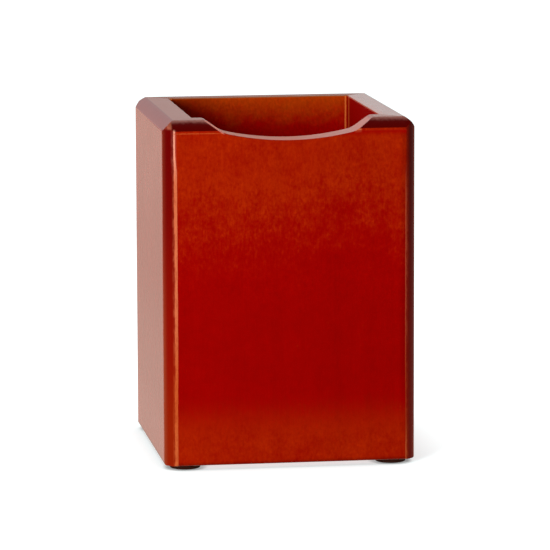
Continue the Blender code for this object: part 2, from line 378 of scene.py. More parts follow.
def add_board(name, length, reach, turn, scooped):
    """Add a board at its reach from the cup's axis, turned about it from the front.

    In its own frame the board's outer face lies on Y = 0 and its inner face behind it.
    """
    place = Matrix.Rotation(turn, 4, "Z") @ Matrix.Translation((0, -reach, BOARD_FOOT))
    to_board = place.inverted()
    blank = prism(f"{name}_blank", board_face(length, scooped), 0, BOARD_THICKNESS, XZ_PLANE)
    soften(blank, SOFT_EDGE_RADIUS, SOFT_EDGE_STEPS, is_level)
    tools = [top_edge_tool(length), *end_tools(length, -1), *end_tools(length, 1)]
    tools += [rabbet_tool(to_board), *slot_tools(to_board)]
    for tool in tools:
        cut(blank, tool)
    board = new_object(f"{name}_fine", read_evaluated(blank))
    for used in (blank, *tools):
        bpy.data.objects.remove(used)
    board.matrix_world = place
    shade(board)
    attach(board, "root")
    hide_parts(name)
    return board


def add_base():
    """The base board with its edges rounded, in the frame's own sizes."""
    size = BASE_HIGH - BASE_LOW
    base = box("base_panel_fine", size, (0, 0, BASE_LOW.z))
    soften(base, BASE_EDGE_RADIUS, SOFT_EDGE_STEPS, lambda first, second: True)
    shade(base)
    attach(base, "root")
    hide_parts("base_panel")
    return base


def foot_profile():
    """Outer side of a foot from its adhesive film down to the table."""
    adhesive = FOOT_RADIUS - ADHESIVE_INSET
    points = [(0, ADHESIVE_TOP), (adhesive, ADHESIVE_TOP), (adhesive, FOOT_TOP)]
    rim = FOOT_RADIUS - FOOT_RIM_RADIUS
    points += [(rim, FOOT_TOP), (FOOT_RADIUS, FOOT_TOP - FOOT_RIM_RADIUS)]
    for step in range(FOOT_EDGE_STEPS + 1):
        angle = math.pi / 2 * step / FOOT_EDGE_STEPS
        across = FOOT_RADIUS - FOOT_EDGE_RADIUS * (1 - math.cos(angle))
        points.append((across, FOOT_EDGE_RADIUS * (1 - math.sin(angle))))
    points.append((0, 0))
    return points


def foot_mesh():
    """One foot, turned about Z from its profile."""
    edit = bmesh.new()
    line = [edit.verts.new((across, 0, up)) for across, up in foot_profile()]
    edges = [edit.edges.new(pair) for pair in zip(line, line[1:])]
    bmesh.ops.spin(edit, geom=line + edges, axis=(0, 0, 1), angle=2 * math.pi, steps=FOOT_SIDES)
    bmesh.ops.remove_doubles(edit, verts=edit.verts, dist=WELD_DISTANCE)
    bmesh.ops.recalc_face_normals(edit, faces=edit.faces)
    mesh = bpy.data.meshes.new("foot")
    edit.to_mesh(mesh)
    edit.free()
    mesh.shade_smooth()
    mesh.set_sharp_from_angle(angle=SHARP_FOLD)
    return mesh


def add_feet(material):
    mesh = foot_mesh()
    mesh.materials.append(material)
    for corner in CORNER_SIGNS:
        low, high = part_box(f"foot_{corner}")
        foot = new_object(f"foot_{corner}_fine", mesh.copy())
        foot.location = ((low.x + high.x) / 2, (low.y + high.y) / 2, 0)
        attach(foot, "root")
        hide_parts(f"foot_{corner}")


def add_node(tree, kind, inputs=None, **settings):
    """Add a shader node; inputs maps a socket's name or number to a value or an output."""
    node = tree.nodes.new(kind)
    for name, value in settings.items():
        setattr(node, name, value)
    for key, value in (inputs or {}).items():
        if isinstance(value, Signal):
            value = value.socket
        if isinstance(value, bpy.types.NodeSocket):
            tree.links.new(value, node.inputs[key])
        else:
            node.inputs[key].default_value = value
    return node


class Signal:
    """A number that varies over a surface: the output of a shader node."""

    def __init__(self, tree, socket):
        self.tree = tree
        self.socket = socket

    def calc(self, operation, *values):
        node = add_node(self.tree, "ShaderNodeMath", dict(enumerate(values)), operation=operation)
        return Signal(self.tree, node.outputs[0])

    def __add__(self, other):
        return self.calc("ADD", self, other)

    def __sub__(self, other):
        return self.calc("SUBTRACT", self, other)

    def __rsub__(self, other):
        return self.calc("SUBTRACT", other, self)

    def __mul__(self, other):
        return self.calc("MULTIPLY", self, other)

    def __abs__(self):
        return self.calc("ABSOLUTE", self)

    def most(self, other):
        return self.calc("MAXIMUM", self, other)

    def least(self, other):
        return self.calc("MINIMUM", self, other)

    def band(self, low, high, bottom=0, top=1):
        """Smooth step between two values, from bottom at low to top at high."""
        inputs = {0: self, 1: low, 2: high, 3: bottom, 4: top}
        node = add_node(self.tree, "ShaderNodeMapRange", inputs, interpolation_type="SMOOTHSTEP")
        return Signal(self.tree, node.outputs[0])

    def plateau(self, start, risen, falling, end, top=1):
        """Smooth rise from 0 to top between the first two values, and fall between the others."""
        return self.band(start, risen) * self.band(end, falling, 0, top)


def hypot(first, second):
    total = first * first + second * second
    return total.calc("SQRT", total)


# Millimetres in a metre
MILLIMETRES = 1000

# What a noise's seed moves it by
SEED_SHIFT = Vector((17.3, 41.9, 29.7))


class Place:
    """A point of a surface in its object's own frame, in millimetres."""

    def __init__(self, tree, seed=0):
        self.tree = tree
        coords = add_node(tree, "ShaderNodeTexCoord").outputs
        inputs = {0: coords["Object"], "Scale": MILLIMETRES}
        scaled = add_node(tree, "ShaderNodeVectorMath", inputs, operation="SCALE")
        self.point = scaled.outputs[0]
        split = add_node(tree, "ShaderNodeSeparateXYZ", {0: self.point})
        self.x, self.y, self.z = (Signal(tree, output) for output in split.outputs)
        normal = add_node(tree, "ShaderNodeSeparateXYZ", {0: coords["Normal"]}).outputs
        self.normal_y = Signal(tree, normal["Y"])
        self.normal_z = Signal(tree, normal["Z"])
        self.seed = seed

    def noise(self, sizes, detail, roughness=0.5):
        """Noise from 0 to 1 whose lumps have these sizes in millimetres."""
        self.seed += 1
        scales = [1 / size for size in sizes]
        inputs = {"Vector": self.point, "Location": SEED_SHIFT * self.seed, "Scale": scales}
        placed = add_node(self.tree, "ShaderNodeMapping", inputs).outputs[0]
        inputs = {"Vector": placed, "Scale": 1, "Detail": detail, "Roughness": roughness}
        return Signal(self.tree, add_node(self.tree, "ShaderNodeTexNoise", inputs).outputs[0])

    def ripple(self, *kind):
        """The same noise, varying about 0."""
        return self.noise(*kind) - 0.5


def blend(tree, share, first, second, mode="MIX"):
    """Mix two colours by a share of the second."""
    inputs = {0: share, 6: as_colour(first), 7: as_colour(second)}
    node = add_node(tree, "ShaderNodeMix", inputs, data_type="RGBA", blend_type=mode)
    return node.outputs[2]


def as_colour(value):
    return (*value, 1) if isinstance(value, tuple) else value


def grey(tree, signal):
    return add_node(tree, "ShaderNodeCombineColor", {0: signal, 1: signal, 2: signal}).outputs[0]


def new_material(name):
    material = bpy.data.materials.new(name)
    material.use_nodes = True
    tree = material.node_tree
    return material, tree, tree.nodes["Principled BSDF"]


# Sizes of a board in millimetres, for the shaders
HALF_WIDTH = CUP_WIDTH / 2 * MILLIMETRES
HEIGHT = BOARD_HEIGHT * MILLIMETRES
THICKNESS = BOARD_THICKNESS * MILLIMETRES
EASE = EDGE_EASE * MILLIMETRES
SCOOP_HALF_WIDTH = HALF_WIDTH - THICKNESS - SCOOP_SHOULDER * MILLIMETRES
FOOT_SPREAD = -(FOOT_LOW.x + FOOT_HIGH.x) / 2 * MILLIMETRES

# Colours, linear
DEEP_RED = (0.284, 0.0003, 0.0002)
THIN_STAIN = (0.352, 0.0170, 0.0006)
INNER_RED = (0.305, 0.0007, 0.0003)
# Painted light on the back board's inner face near its rim
INNER_PAINTED_LIGHT = (0.430, 0.0400, 0.0010)
SIDE_STAIN = (0.276, 0.0090, 0.0012)
# The left board's colour where its stain is thin: a painted reflection, paler than its stain
SIDE_PAINTED_REFLECTION = (0.340, 0.0480, 0.0380)
# Top chamfers: painted shade, darker than the faces
TOP_CHAMFER = (0.078, 0.0003, 0.0002)
PALE_CHAMFER = (0.222, 0.0100, 0.0040)
RIM_WOOD = (0.360, 0.0550, 0.0120)
BACK_RIM_WOOD = (0.380, 0.1000, 0.0250)
INNER_RIM = (0.480, 0.0700, 0.0200)
WORN_RIM = (0.330, 0.1300, 0.1050)
CORNER_WOOD = (0.430, 0.1150, 0.0620)
ARRIS_BROWN = (0.310, 0.0560, 0.0170)
# Top arris: rubbed through, with a painted highlight
TOP_ARRIS = (0.480, 0.0720, 0.0150)
SCOOP_WOOD = (0.620, 0.0820, 0.0020)
SCOOP_WORN = (0.570, 0.1500, 0.1050)
SCOOP_SPOT = (0.600, 0.1500, 0.0600)
# Painted highlight along the edge of the scoop's left ramp
RAMP_EDGE_HIGHLIGHT = (0.700, 0.2700, 0.2200)
GLUE_AMBER = (0.720, 0.1700, 0.0350)
# Rubbed upright arrises: orange wood worn through, under a painted highlight palest at the top
RUB_TOP_HIGHLIGHT = (0.900, 0.3700, 0.2500)
RUB_UPPER = (0.640, 0.1500, 0.0600)
RUB_LOWER = (0.540, 0.0900, 0.0200)
RUB_FOOT = (0.580, 0.1150, 0.0300)
DARK_RUBBER = (0.020, 0.004, 0.0015)
LIGHT_RUBBER = (0.034, 0.007, 0.003)
DARK_BIRCH = (0.46, 0.27, 0.13)
LIGHT_BIRCH = (0.62, 0.42, 0.24)
PLY_BROWN = (0.36, 0.20, 0.09)

# Each corner: the colour of its chamfers at the top, halfway and at the foot, a painted
# shade deepest high up, how gradually it starts in millimetres, how much painted shade
# darkens the faces beside it, the sheen of its chamfers high up and low down, how far
# towards the chamfer its rubbed line with its painted highlight lies and half of that
# line's width, how dull the chamfers are beyond their arris, and how bare its tip is sanded
# on the board that ends there on the left and on the one that ends there on the right
PLAIN_CORNER = {
    "top": (0.120, 0.0010, 0.0004), "middle": (0.200, 0.0040, 0.0005),
    "foot": (0.220, 0.0080, 0.0006), "ease_in": 1.0, "darker": 0.1,
    "sheen": 1.0, "low_sheen": 0.7, "rub_shift": 0.0, "rub_half": 0.35,
    "dull": 0.0, "sanded": {-1: 0.0, 1: 0.0},
}
CORNERS = {
    "front_left": {
        **PLAIN_CORNER, "top": (0.126, 0.0002, 0.0002), "middle": (0.238, 0.0036, 0.0004),
        "foot": (0.258, 0.0115, 0.0006), "ease_in": 0.6, "darker": 0.0,
        "low_sheen": 1.0, "rub_half": 0.45, "dull": 0.45, "sanded": {-1: 0.75, 1: 0.3},
    },
    "front_right": {
        **PLAIN_CORNER, "top": (0.078, 0.0010, 0.0005), "middle": (0.158, 0.0040, 0.0012),
        "foot": (0.178, 0.0060, 0.0015), "ease_in": 2.0, "darker": 0.24,
        "sheen": 0.35, "low_sheen": 0.34, "rub_shift": 0.42, "rub_half": 0.17,
    },
    "rear_left": {**PLAIN_CORNER, "rub_shift": 0.1, "rub_half": 0.30},
    "rear_right": PLAIN_CORNER,
}

# Each board: the corners at its ends and how far their arrises are rubbed through, with a
# painted highlight, at the top, below and at the foot; its stain where deep and where thin,
# the thin one on the left board a painted reflection; its top chamfer's painted shade,
# that chamfer's roughness and the rubbing of its top arris, partly a painted highlight, at
# either end; the colour of its rim's inner half, the rim's roughness, its sheen on the
# outer and the inner half, and the bands of X over which that sheen changes; its inner
# face near the rim, painted light on the back board, that face's roughness, sheen,
# painted shade and light, and added texture; how far glue shows in its inner corners and
# is smeared beside one; how pale its outer rim is worn; how deep its grain lies; and
# whether it is the hazy left board or the one with the scoop
PLAIN_BOARD = {
    "deep": DEEP_RED, "thin": THIN_STAIN, "top": TOP_CHAMFER, "top_rough": 0.27,
    "rim": RIM_WOOD, "rim_fades": (), "inner_top": INNER_RED, "inner_rough": 0.40,
    "inner_sheen": 1.0, "inner_dark": 0.0, "inner_texture": 0.0, "glue": 0.0, "smear": 0.0,
    "worn_rim": 0.4, "relief": 1.0, "hazy": False, "scooped": False,
}
BOARDS = {
    "front_panel": {
        **PLAIN_BOARD,
        "ends": ("front_left", "front_right"), "rubs": ((0.95, 1, 1), (0, 0.32, 0.85)),
        "top_rub": (0.70, 0.35), "rim_rough": 0.29, "rim_sheen": (1.0, 1.0),
        "rim_fades": ((-30, -8, 0.66, 1), (8, 30, 1, 1.3)), "worn_rim": 1.0, "scooped": True,
    },
    "right_side_panel": {
        **PLAIN_BOARD,
        "ends": ("front_right", "rear_right"), "rubs": ((0, 0.2, 0.6), (0.4, 0.5, 0.5)),
        "top_rub": (0.3, 0.5), "rim": INNER_RIM, "rim_rough": 0.17, "rim_sheen": (0.95, 0.75),
        "rim_fades": ((-10, 30, 1, 0.80),), "inner_rough": 0.50, "inner_sheen": 0.09,
        "smear": 0.42, "relief": 0.6,
    },
    "back_panel": {
        **PLAIN_BOARD,
        "ends": ("rear_right", "rear_left"), "rubs": ((0.4, 0.5, 0.6), (0.5, 0.4, 0.5)),
        "top_rub": (0.5, 0.4), "rim": BACK_RIM_WOOD, "rim_rough": 0.20,
        "rim_sheen": (0.05, 0.02), "inner_top": INNER_PAINTED_LIGHT, "inner_rough": 0.35,
        "inner_dark": 0.36, "inner_texture": 1.5, "glue": 0.9,
    },
    "left_side_panel": {
        **PLAIN_BOARD,
        "ends": ("rear_left", "front_left"), "rubs": ((0.3, 0.3, 0.4), (0, 0, 0)),
        "deep": SIDE_STAIN, "thin": SIDE_PAINTED_REFLECTION, "top": PALE_CHAMFER, "top_rough": 0.295,
        "top_rub": (0.0, 0.0), "rim_rough": 0.30, "rim_sheen": (0.92, 0.98),
        "worn_rim": 0.0, "relief": 0.15, "hazy": True,
    },
}

# The seed that each material's noises count up from
SEEDS = {
    "front_panel": 0, "right_side_panel": 10, "back_panel": 20, "left_side_panel": 30,
    "base_panel": 50, "rubber": 60, "plywood": 70,
}

# Noises, each as the sizes of its lumps in millimetres, its detail and its roughness, if
# that isn't 0.5. The ripples are drawn for every board, in this order
RIPPLES = {
    "fine": ((0.9, 0.9, 1.4), 2, 0.6),
    "flecks": ((0.55, 0.55, 2.4), 2, 0.6),
    "mottle": ((2.4, 2.4, 3.0), 3, 0.65),
    "patches": ((10, 10, 8), 3, 0.6),
    "grain": ((0.35, 0.35, 7), 3, 0.6),
    "wear": ((1.2, 1.2, 4), 3, 0.65),
}
SPECKS = ((0.6, 0.6, 1.0), 1)
STREAKS = ((5, 5, 90), 2)
DARK_SPECKS = ((0.8, 0.8, 0.8), 1)
GLOSS_CLOUDS = ((3, 3, 9), 3)
WAVES = ((2.5, 2.5, 4), 2)
RUBBER_CLOUDS = ((1.5, 1.5, 1.5), 3)
RUBBER_SCUFFS = ((0.8, 0.8, 0.8), 2)
RUBBER_PORES = ((0.25, 0.25, 0.25), 2)
BIRCH_FIBRES = ((0.4, 0.4, 8), 3)

# The lengths named below are in millimetres. A tuple holds what band or plateau takes: the
# ends of its steps, and its values there if they aren't 0 and 1

# Zones of a board's surface
OUTER_PART = (EASE + 0.2, EASE - 0.2)
TOP_CHAMFER_DEPTH = (EASE, EASE - 0.5)
OFF_FACE = (0, 0.15)
AT_MITRE = (-0.15, 0.15)
FACING_UP = (0.4, 0.75)
NOT_LEANING = (0.4, 0.15)
BELOW_RIM = (0.2, 0.8)
NEAR_RIM = (0.4, 0.1)
INNER_PART = (THICKNESS - 0.5, THICKNESS - 0.2)
INNER_HALF_OF_RIM = (THICKNESS - 3.4, THICKNESS - 1.4)
ONE_HALF = (0, 1)

# Stain of the flat faces, and the painted light and shade on the back board's inner face
STEADY_EXTRA = 0.25
RIGHT_PATCH = (2, 16, 28, 37)
RIGHT_PATCH_DROP = 7
PATCH_WANDER = 20
WANDER = {"mottle": 22, "fine": 24, "flecks": 20}
UPPER_THIN = (57, 93)
UPPER_CURVE = 1.7
LOWER_WANDER = 0.30
LOWER_THIN = (23, 8, 0, 0.86)
UNEVEN = {"fine": 1.4, "mottle": 1.2}
PATCH_UNEVEN = 1.5
THIN_SHARE = 0.64
SPECK_LEVEL = (0.70, 0.78, 0, 0.35)
SPECKED_PATCHES = (0.02, 0.12)
# The back board's inner face: the border of its painted light near the rim, and its painted shade
# towards the left board and painted light deeper down
INNER_WANDER = {"mottle": 7, "patches": 11}
INNER_TILT = 0.05
INNER_SIDES = (8, 28, 0, 2.6)
INNER_FALL = (-0.5, 12)
INNER_DARK_SIDE = (8, 31)
INNER_LIT_DEPTH = (2, 9, 0, 0.45)

# Tone of the flat faces, with painted shade along the foot and beside the corners
TEXTURE = {"fine": 0.30, "flecks": 0.12}
THIN_TEXTURE = 0.9
MIDDLE_TEXTURE = (46, 60, 72, 86, 0.55)
LEAST_TEXTURE = 0.4
TONE_MOTTLE = 0.20
TONE_PATCHES = 0.16
TONE_STREAKS = 0.14
TONE_GRAIN = 0.16
RIGHT_PATCH_SHADE = 0.035
LEFT_LIGHT = (-6, -30, 0, 0.035)
MIDDLE_LIGHT = (48, 62, 76, 90, 0.03)
LOW_LIGHT = (28, 20, 0, 0.025)
DARK_SPECK_LEVEL = (0.745, 0.80, 0, 0.22)
FOOT_SHADE = (1.5, 0.1, 0, 0.42)
BESIDE_CORNER = (EASE + 2.4, EASE + 0.1)
CORNER_SHADE_HEIGHT = (3, 34, 0.35, 1)
HAZY_EDGE = (EASE + 9, EASE + 3, 1, 1.15)

# Painted shade of the chamfers, with the left board's brown strip and the worn rim
CHAMFER_UPPER = (30, 108)
CHAMFER_WANDER = 8
CHAMFER_LOWER = (40, 6)
CHAMFER_LEAD = 0.1
BROWN_STRIP = (1.7, 3.8, EASE, EASE + 0.1)
BROWN_BELOW = (EASE - 1, EASE)
BROWN_HEIGHT = (80, 25, 0.30, 0.80)
WORN_WANDER = 1.5
WORN_DEPTH = (1.7, 3.4)

# Rubbed upright arrises, with a painted highlight that is palest and widest near the top
RUB_TONES = ((RUB_LOWER, (5, 18)), (RUB_UPPER, (24, 56)), (RUB_TOP_HIGHLIGHT, (91, 106)))
RUB_HIGH = (93, 105)
RUB_HIGH_SHIFT = 0.20
RUB_HIGH_NARROWING = 0.24
RUB_MIDDLE_SHIFT = (14, 36, 94, 102, 0.17)
RUB_WANDER = 0.35
RUB_CRISP = (0.13, -0.10)
RUB_SOFT = (-0.15, 0.10)
RUB_RAMP = (-1.4, 0.1)
RAMP_FLECKS = (-0.08, 0.10, 0.15, 0.50)
RAMP_STRENGTH = 1.35
RAMP_HIGH_LOSS = 1.10
RAGGED_FINE = 0.6
RAGGED = (-0.25, 0.05, 0.65, 1)
GLOW_HEIGHT = (90, 98, 0, 0.13)
GLOW_WIDTH = (0.05, 0.25, 0.50, 0.75)
RUB_TO_TOP = (84, 100)
RUB_TO_FOOT = (12, 4)
NEAR_FACE = (1.1, 0.3)
BELOW_CHAMFER = (EASE - 1.2, EASE - 0.2)

# Rubbed top arrises, partly a painted highlight, the worn spot by the scoop and the
# painted highlight along the edge of its left ramp
TOP_RUB_ENDS = (HALF_WIDTH - 8, 22 - HALF_WIDTH)
TOP_RAGGED = (-0.3, 0.1, 0.4, 1)
TOP_LINE_DROP = 0.40
TOP_LINE_WANDER = 0.25
TOP_LINE = (0.28, 0.06)
TOP_LINE_DEPTH = (0.5, 0.2)
OFF_CORNER = (EASE - 1, EASE)
SPOT_ACROSS = 22.2
SPOT_DROP = 0.3
SPOT_WIDTH = (1.4, 0.6)
SPOT_HEIGHT = (0.8, 0.35)
SPOT_DEPTH = (0.9, 0.6, 0, 0.9)
RAMP_EDGE_WIDTH = (-0.50, -0.20)
RAMP_EDGE_END = (-21.2, -22.4)
RAMP_EDGE_DEPTH = (3.4, 3.0)
RAMP_EDGE_TOP = (0.1, 0.3, 0, 0.85)
DULL_STRIP = (EASE, EASE + 0.4, EASE + 0.5, EASE + 2.4)
DULL_DEPTH = (0.2, 0.1)
DULL_SIDE = (-12, 6)
DULL_RISE = (0, 26, 0.5, 0.85)
TIP_SIDE = (3.2, 2.4)
TIP_DOWN = (3.1, 2.2)
BARE_SIDE = (-2, 24)

# Glue in the inner corners
GLUE_OFFSET = 0.5
GLUE_WANDER = 0.3
GLUE_LINE = (0.36, 0.16)
SMEAR_OFFSET = 3.9
SMEAR_WANDER = 0.6
SMEAR_LINE = (1.3, 0.5)

# Sheen, gloss and relief of the lacquer
LACQUER_IOR = 1.21
LACQUER_TINT = (0.35, 0.06, 0.03, 1)
SPECULAR_LEVEL = 0.5
SCOOP_SHEEN = 0.05
ON_CORNER = (EASE, EASE - 1)
CORNER_SHEEN_HEIGHT = (55, 90)
DULL_CHAMFER = (3.4, 2.4)
HAZE_DULL_SIDE = (EASE + 3.4, EASE + 0.4)
HAZE_DULL_DEPTH = (0.5, 0.1, 0, 0.85)
HAZE_LOWER = (62, 18, 1.14, 1.95)
HAZE_UPPER = (88, 100, 0, 0.10)
HAZE_CHAMFER = (EASE, EASE - 0.3)
HAZE_TOP_LOSS = 0.2
LACQUER_ROUGH = 0.27
GLOSS_EXTRA = 0.2
CLOUD_GLOSS = 0.10
GRAIN_GLOSS = 0.04
SCOOP_GLOSS = 0.06
WAVE_HEIGHT = 0.006
GRAIN_HEIGHT = 0.0012

# Rubber and plywood, with the heights of their bumps in metres
RUBBER_SPECULAR = 0.09
RUBBER_ROUGH = 0.8
PLYWOOD_ROUGH = 0.7
ROUGH_RANGE = 0.2
PORE_HEIGHT = 0.00002
FIBRE_HEIGHT = 0.00003
PLY_WAVES = 3.9
PLY_BAND = (-0.3, 0.3, 0, 0.35)


class Surface(Place):
    """A board's surface, with its depth below the rim and its inset from the near corner."""

    def __init__(self, tree, seed, look):
        super().__init__(tree, seed)
        self.look = look
        self.side = HALF_WIDTH - abs(self.x)
        self.down = HEIGHT - self.z
        self.outer = self.y.band(*OUTER_PART)
        self.on_top_chamfer = self.down.band(*TOP_CHAMFER_DEPTH) * self.outer
        self.on_top_chamfer = self.on_top_chamfer * self.y.band(*OFF_FACE)
        self.on_top_chamfer = self.on_top_chamfer * (self.side - self.down).band(*AT_MITRE)
        upward = self.normal_z.band(*FACING_UP)
        self.in_scoop = upward * abs(self.normal_y).band(*NOT_LEANING) * self.down.band(*BELOW_RIM)
        self.on_rim = upward * self.down.band(*NEAR_RIM)
        self.inner_half = self.y.band(*INNER_HALF_OF_RIM)
        self.inside = self.y.band(*INNER_PART)
        self.ripples = {name: self.ripple(*kind) for name, kind in RIPPLES.items()}
        self.fine = self.ripples["fine"]
        self.mottle = self.ripples["mottle"]
        self.patches = self.ripples["patches"]
        self.grain = self.ripples["grain"]
        self.wear = self.ripples["wear"]

    def toward(self, end):
        """1 on the half of the board on the side of this end."""
        return (self.x * end).band(*ONE_HALF)

    def ends(self):
        """Each end of the board, as the sign of its X, with its corner's looks."""
        return [(end, CORNERS[corner]) for end, corner in zip((-1, 1), self.look["ends"])]

    def weigh(self, shares):
        """Sum of the board's ripples, each times its share."""
        first, *others = (self.ripples[name] * share for name, share in shares.items())
        return sum(others, first)

    def steady(self, extra):
        """How much of its texture the board keeps, by how deep its grain lies."""
        return min(1, self.look["relief"] + extra)


def thin_share(board, right_patch):
    """Share of thin stain: more near the top and the foot, with a ragged border.

    On the left board the thin colour is a painted reflection.
    """
    steady = board.steady(STEADY_EXTRA)
    wander = board.patches * PATCH_WANDER + board.weigh(WANDER) * steady
    upper = (board.z + wander - right_patch * RIGHT_PATCH_DROP).band(*UPPER_THIN)
    upper = upper.calc("POWER", upper, UPPER_CURVE)
    lower = (board.z + wander * LOWER_WANDER).band(*LOWER_THIN)
    uneven = board.weigh(UNEVEN) * steady + board.patches * PATCH_UNEVEN + 1
    return upper.most(lower) * uneven * THIN_SHARE


def inner_stain_and_light(board):
    """Colour of the inner face, which turns red below its colour near the rim.

    On the back board that colour near the rim is painted light, and the face has painted
    shade towards the left board and painted light deeper down.
    """
    tree = board.tree
    look = board.look
    depth = board.down + board.weigh(INNER_WANDER) + board.x * INNER_TILT
    depth = depth + abs(board.x).band(*INNER_SIDES)
    colour = blend(tree, depth.band(*INNER_FALL), look["inner_top"], INNER_RED)
    # Painted shade towards the left board and painted light deeper down, on the back board
    tone = board.x.band(*INNER_DARK_SIDE) * -look["inner_dark"]
    tone = tone + board.down.band(*INNER_LIT_DEPTH) * look["inner_dark"] + 1
    return blend(tree, 1, colour, grey(tree, tone), "MULTIPLY")


def face_tone(board, thin, right_patch):
    """Light and dark of the flat faces: texture, streaks and specks.

    Painted shade darkens them along the foot and beside the corners.
    """
    look = board.look
    steady = board.steady(STEADY_EXTRA)
    strength = thin * THIN_TEXTURE + board.z.plateau(*MIDDLE_TEXTURE) + LEAST_TEXTURE
    strength = strength + board.inside * look["inner_texture"]
    tone = board.weigh(TEXTURE) * steady * strength + board.mottle * (TONE_MOTTLE * steady)
    tone = tone + board.patches * TONE_PATCHES + board.ripple(*STREAKS) * TONE_STREAKS
    tone = tone + board.grain * (TONE_GRAIN * look["relief"]) + 1
    tone = tone - right_patch * RIGHT_PATCH_SHADE + board.x.band(*LEFT_LIGHT)
    tone = tone + board.z.plateau(*MIDDLE_LIGHT) + board.z.band(*LOW_LIGHT)
    tone = tone * (1 - board.noise(*DARK_SPECKS).band(*DARK_SPECK_LEVEL))
    # Painted shade along the foot of the outer face
    tone = tone * (1 - board.z.band(*FOOT_SHADE) * board.outer)
    # Painted shade on the faces beside each corner
    for end, corner in board.ends():
        beside = board.side.band(*BESIDE_CORNER) * board.toward(end) * board.outer
        beside = beside * board.z.band(*CORNER_SHADE_HEIGHT)
        tone = tone * (1 - beside * corner["darker"])
    if look["hazy"]:
        tone = tone * board.side.band(*HAZY_EDGE)
    return tone


def stain(board):
    """Colour of the flat faces, with its mottle and painted shade.

    On the back board the inner face also holds painted light and shade.
    """
    tree = board.tree
    look = board.look
    right_patch = board.x.plateau(*RIGHT_PATCH)
    thin = thin_share(board, right_patch)
    specks = board.noise(*SPECKS).band(*SPECK_LEVEL) * board.patches.band(*SPECKED_PATCHES)
    outer = blend(tree, (thin + specks).least(1), look["deep"], look["thin"])
    colour = blend(tree, board.inside, outer, inner_stain_and_light(board))
    return blend(tree, 1, colour, grey(tree, face_tone(board, thin, right_patch)), "MULTIPLY")


def lay_chamfers(board, colour):
    """Lay the chamfers' painted shade over the colour, and the brown strip and worn rim."""
    tree = board.tree
    look = board.look
    halfway = board.z.band(*CHAMFER_UPPER)
    low = (board.z + board.mottle * CHAMFER_WANDER).band(*CHAMFER_LOWER)
    for end, corner in board.ends():
        # Painted shade of the upright chamfers: deepest high up, lighter towards the foot
        tone = blend(tree, halfway, corner["middle"], corner["top"])
        tone = blend(tree, low, tone, corner["foot"])
        mask = board.side.band(EASE + CHAMFER_LEAD, EASE - corner["ease_in"]) * board.outer
        mask = mask * board.toward(end) * (board.down - board.side).band(*AT_MITRE)
        colour = blend(tree, mask, colour, tone)
    # Painted shade of the top chamfer
    colour = blend(tree, board.on_top_chamfer, colour, look["top"])
    if look["hazy"]:
        brown = board.side.plateau(*BROWN_STRIP) * board.toward(1)
        brown = brown * board.down.band(*BROWN_BELOW) * board.z.band(*BROWN_HEIGHT)
        colour = blend(tree, brown, colour, ARRIS_BROWN)
    worn = (board.y + board.mottle * WORN_WANDER).band(*WORN_DEPTH)
    worn = worn * board.on_top_chamfer.most(board.on_rim * board.outer)
    return blend(tree, worn * look["worn_rim"], colour, WORN_RIM)


def sand_tips(board, colour):
    """Sand the tip where the three chamfers of a corner meet."""
    for end, corner in board.ends():
        if corner["sanded"][end]:
            tip = board.side.band(*TIP_SIDE) * board.down.band(*TIP_DOWN)
            tip = tip * board.toward(end) * board.outer
            colour = blend(board.tree, tip * corner["sanded"][end], colour, CORNER_WOOD)
    return colour


def rub_and_highlight_corner(board, colour, end, corner, rubs):
    """Rub one upright arris through to orange: crisp towards the face, soft beyond it.

    A painted highlight lies on the rubbed line, palest and widest near the top. The three
    rubs are how far it is rubbed at the top, below and at the foot.
    """
    tree = board.tree
    tone = RUB_FOOT
    for above, heights in RUB_TONES:
        tone = blend(tree, board.z.band(*heights), tone, above)
    high = board.z.band(*RUB_HIGH)
    inward = board.side - EASE + high * RUB_HIGH_SHIFT - board.z.plateau(*RUB_MIDDLE_SHIFT)
    inward = inward + board.wear * RUB_WANDER + corner["rub_shift"]
    half_width = corner["rub_half"] - high * RUB_HIGH_NARROWING
    crisp = (inward - half_width).band(*RUB_CRISP)
    line = crisp * (inward + half_width).band(*RUB_SOFT)
    ramp = crisp * inward.band(*RUB_RAMP) * board.wear.band(*RAMP_FLECKS)
    ramp = ramp * (RAMP_STRENGTH - high * RAMP_HIGH_LOSS)
    # A wider painted highlight near the top
    glow = board.z.band(*GLOW_HEIGHT) * inward.plateau(*GLOW_WIDTH)
    ragged = (board.wear + board.fine * RAGGED_FINE).band(*RAGGED)
    # Worn-through wood and painted highlight together
    rubbed = line.most(ramp).most(glow) * ragged
    top, below, foot = rubs
    strength = board.z.band(*RUB_TO_TOP) * (top - below) + below
    strength = strength + board.z.band(*RUB_TO_FOOT) * (foot - below)
    near_face = board.y.band(*NEAR_FACE) * board.toward(end) * board.down.band(*BELOW_CHAMFER)
    return blend(tree, rubbed * strength * near_face, colour, tone)


def wear_and_highlight_scoop_ends(board, colour):
    """Wear a spot beside the scoop's right end.

    A painted highlight lies along the edge of its left ramp.
    """
    tree = board.tree
    spot = abs(board.x - SPOT_ACROSS).band(*SPOT_WIDTH) * board.y.band(*SPOT_DEPTH)
    spot = spot * abs(board.down - EASE - SPOT_DROP).band(*SPOT_HEIGHT)
    colour = blend(tree, spot, colour, SCOOP_SPOT)
    # Painted highlight along the edge of the left ramp
    over_ramp = (board.x + SCOOP_HALF_WIDTH) * math.sin(SCOOP_RAMP_ANGLE)
    over_ramp = over_ramp - board.down * math.cos(SCOOP_RAMP_ANGLE)
    edge = over_ramp.band(*RAMP_EDGE_WIDTH) * board.x.band(*RAMP_EDGE_END)
    edge = edge * board.y.band(*RAMP_EDGE_DEPTH) * board.down.band(*RAMP_EDGE_TOP)
    return blend(tree, edge, colour, RAMP_EDGE_HIGHLIGHT)


